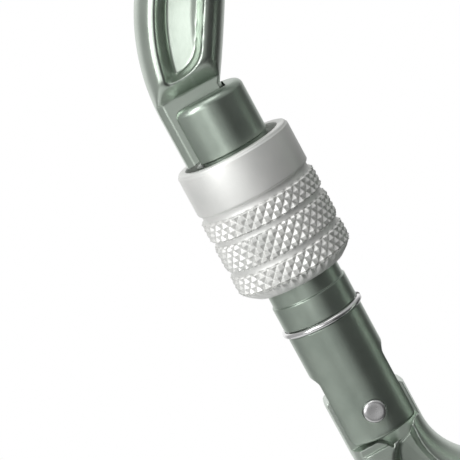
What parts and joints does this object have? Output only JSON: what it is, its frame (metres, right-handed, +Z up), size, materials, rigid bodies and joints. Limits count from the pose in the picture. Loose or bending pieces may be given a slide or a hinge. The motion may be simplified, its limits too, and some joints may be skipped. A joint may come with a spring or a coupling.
{
  "type": "locking carabiner",
  "caption": "Pear-shaped screwgate carabiner: forged I-beam frame, sprung round gate and knurled screw sleeve that locks it.",
  "frame": {"origin": "middle of the inner face of the wide upper basket, where the carabiner hangs from its anchor, at mid thickness", "axes": "+Z up along the straight spine, -X towards the gate, +X towards the spine, Y across the thickness"},
  "size_m": [0.068, 0.0168, 0.1005],
  "materials": {
    "anodised_frame": "satin grey-green anodising",
    "anodised_gate": "satin grey-green anodising",
    "rivet_steel": "satin stainless steel",
    "plunger_steel": "machined steel",
    "spring_wire": "bright drawn wire",
    "ring_steel": "polished steel wire",
    "sleeve_aluminium": "satin silver aluminium, diamond knurled"
  },
  "bodies": {
    "frame": {"frame": "anodised_frame"},
    "gate": {"gate_barrel": "anodised_gate", "hinge_rivet": "rivet_steel", "gate_spring": "spring_wire"},
    "plunger": {"spring_plunger": "plunger_steel"},
    "ring": {"stop_ring": "ring_steel"},
    "sleeve": {"locking_sleeve": "sleeve_aluminium"}
  },
  "joints": [
    {"name": "gate_hinge", "type": "hinge", "parent": "frame", "child": "gate", "pos_m": [0.0021, 0, -0.07063], "axis": [0, 1, 0], "range_deg": [0, 40], "stiffness_Nm_per_rad": 0.3, "springref_deg": -38.39},
    {"name": "plunger_slide", "type": "slide", "parent": "gate", "child": "plunger", "axis": [-0.4787, 0, 0.878], "range_m": [0, 0.0007], "deforming": ["gate_spring"]},
    {"name": "sleeve_turn", "type": "hinge", "parent": "gate", "child": "ring", "pos_m": [0.0021, 0, -0.07063], "axis": [-0.4787, 0, 0.878], "range_deg": [-1026, 1170]},
    {"name": "sleeve_travel", "type": "slide", "parent": "ring", "child": "sleeve", "axis": [-0.4787, 0, 0.878], "range_m": [-0.0057, 0.0065]}
  ],
  "couplings": [
    {"joint": "plunger_slide", "follows": "gate_hinge", "m_per_rad": 0.00099},
    {"joint": "sleeve_travel", "follows": "sleeve_turn", "m_per_rad": 0.00031831}
  ]
}
